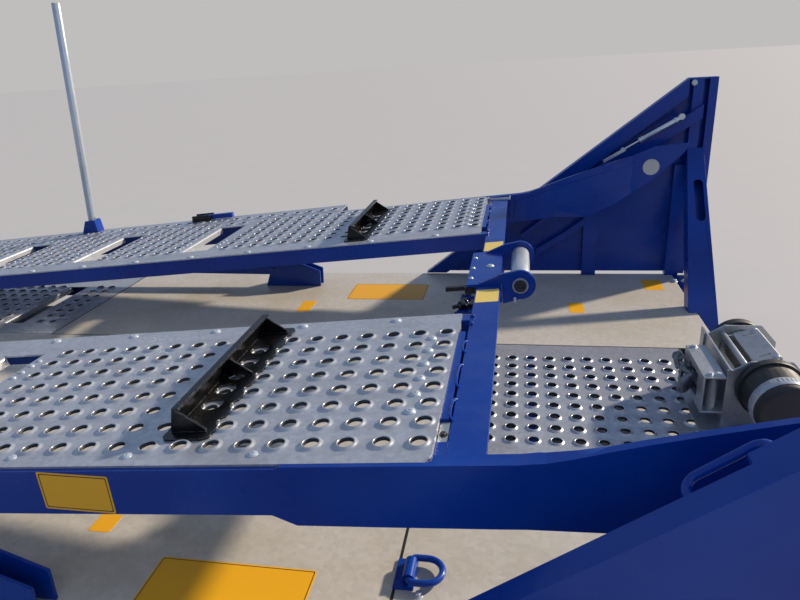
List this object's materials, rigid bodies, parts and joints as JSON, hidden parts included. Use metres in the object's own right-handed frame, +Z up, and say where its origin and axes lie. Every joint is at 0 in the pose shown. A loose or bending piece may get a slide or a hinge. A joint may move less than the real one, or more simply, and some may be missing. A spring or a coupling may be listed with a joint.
{
  "type": "two-level car-carrying body of a transporter truck",
  "caption": "Blue and galvanised car-carrying truck body: flat lower deck, tilting upper platform with perforated wheel tracks, side towers, winch and rope roller.",
  "frame": {"origin": "centre of the four chassis bolt holes, on the underside of the subframe beams", "axes": "+X to the truck's cab, +Y to its left side, +Z up"},
  "size_m": [6.294, 2.59, 1.6719],
  "materials": {
    "blue_paint": "gloss enamel paint",
    "galvanised_sheet": "hot-dip galvanised sheet",
    "zinc_steel": "bright zinc plated",
    "plated_steel": "zinc plated plate",
    "black_steel": "black paint",
    "dark_cast": "dark cast housing"
  },
  "bodies": {
    "deck": {"deck_joists": "blue_paint", "deck_plate_left": "galvanised_sheet", "deck_plate_middle": "galvanised_sheet", "deck_plate_right": "galvanised_sheet", "front_outriggers": "blue_paint", "grab_handle": "blue_paint", "grip_plate_front": "galvanised_sheet", "grip_plate_rear_left": "galvanised_sheet", "grip_plate_rear_right": "galvanised_sheet", "lift_foot_left": "blue_paint", "lift_foot_right": "blue_paint", "lock_cylinder_left": "zinc_steel", "lock_cylinder_right": "zinc_steel", "ring_base_left": "black_steel", "ring_base_right": "black_steel", "rope_guide": "plated_steel", "side_sill_left": "blue_paint", "side_sill_right": "blue_paint", "subframe_beam_left": "blue_paint", "subframe_beam_right": "blue_paint", "tower_brace_left": "blue_paint", "tower_brace_right": "blue_paint", "tower_left": "blue_paint", "tower_right": "blue_paint", "winch_base": "plated_steel", "winch_gearbox": "dark_cast", "winch_motor": "dark_cast", "winch_tension_plate": "plated_steel", "winch_tray": "black_steel"},
    "platform": {"crossbeam": "blue_paint", "inner_rail_left": "blue_paint", "inner_rail_right": "blue_paint", "lift_strip_left": "blue_paint", "lift_strip_right": "blue_paint", "pivot_pin_left": "plated_steel", "pivot_pin_right": "plated_steel", "platform_tie_1": "blue_paint", "platform_tie_2": "blue_paint", "platform_tie_3": "blue_paint", "post_socket": "blue_paint", "post_socket_front": "black_steel", "roller_bracket": "blue_paint", "roller_spindle": "plated_steel", "side_rail_left": "blue_paint", "side_rail_right": "blue_paint", "walkway": "galvanised_sheet", "wheel_stop_left": "black_steel", "wheel_stop_right": "black_steel", "wheel_track_left": "galvanised_sheet", "wheel_track_right": "galvanised_sheet"},
    "handrail_post": {"handrail_post": "zinc_steel"},
    "handrail_post_front": {"handrail_post_front": "blue_paint"},
    "lashing_ring_left": {"lashing_ring_left": "blue_paint"},
    "lashing_ring_right": {"lashing_ring_right": "blue_paint"},
    "lift_arm_left": {"lift_arm_left": "blue_paint"},
    "lift_arm_right": {"lift_arm_right": "blue_paint"},
    "lock_rod_left": {"lock_rod_left": "zinc_steel"},
    "lock_rod_right": {"lock_rod_right": "zinc_steel"},
    "rope_roller": {"rope_roller": "zinc_steel"},
    "winch_drum": {"winch_drum": "plated_steel"}
  },
  "joints": [
    {"name": "platform_lift", "type": "hinge", "parent": "deck", "child": "platform", "pos_m": [2.807, 0, 0.767], "axis": [0, 1, 0], "range_deg": [0, 18]},
    {"name": "lift_arm_left_swing", "type": "hinge", "parent": "deck", "child": "lift_arm_left", "pos_m": [0.896, 1.082, 0.281], "axis": [0, 1, 0], "range_deg": [0, 41.31]},
    {"name": "lift_arm_right_swing", "type": "hinge", "parent": "deck", "child": "lift_arm_right", "pos_m": [0.896, -1.082, 0.281], "axis": [0, 1, 0], "range_deg": [0, 41.31]},
    {"name": "lock_rod_left_slide", "type": "slide", "parent": "deck", "child": "lock_rod_left", "axis": [-0.868, 0, -0.4965], "range_m": [0, 0.04]},
    {"name": "lashing_ring_left_flip", "type": "hinge", "parent": "deck", "child": "lashing_ring_left", "pos_m": [1.962, 0.889, 0.208], "axis": [0, 1, 0], "range_deg": [-90, 0]},
    {"name": "lock_rod_right_slide", "type": "slide", "parent": "deck", "child": "lock_rod_right", "axis": [-0.868, 0, -0.4965], "range_m": [0, 0.04]},
    {"name": "lashing_ring_right_flip", "type": "hinge", "parent": "deck", "child": "lashing_ring_right", "pos_m": [1.962, -0.889, 0.208], "axis": [0, 1, 0], "range_deg": [-90, 0]},
    {"name": "rope_roller_spin", "type": "hinge", "parent": "platform", "child": "rope_roller", "pos_m": [2.2083, 0, 0.64828], "axis": [0, 1, 0], "continuous": true},
    {"name": "winch_drum_spin", "type": "hinge", "parent": "deck", "child": "winch_drum", "pos_m": [2.934, -0.0525, 0.34], "axis": [0, 1, 0], "continuous": true},
    {"name": "handrail_post_fold", "type": "hinge", "parent": "platform", "child": "handrail_post", "pos_m": [-0.23147, 1.203, 0.50861], "axis": [0, 1, 0], "range_deg": [-97, 0]},
    {"name": "handrail_post_front_fold", "type": "hinge", "parent": "platform", "child": "handrail_post_front", "pos_m": [0.46847, 1.203, 0.53814], "axis": [0, 1, 0], "range_deg": [-90, 0]}
  ],
  "couplings": [
    {"joint": "lift_arm_left_swing", "follows": "platform_lift", "ratio": 2.295},
    {"joint": "lift_arm_right_swing", "follows": "platform_lift", "ratio": 2.295}
  ]
}
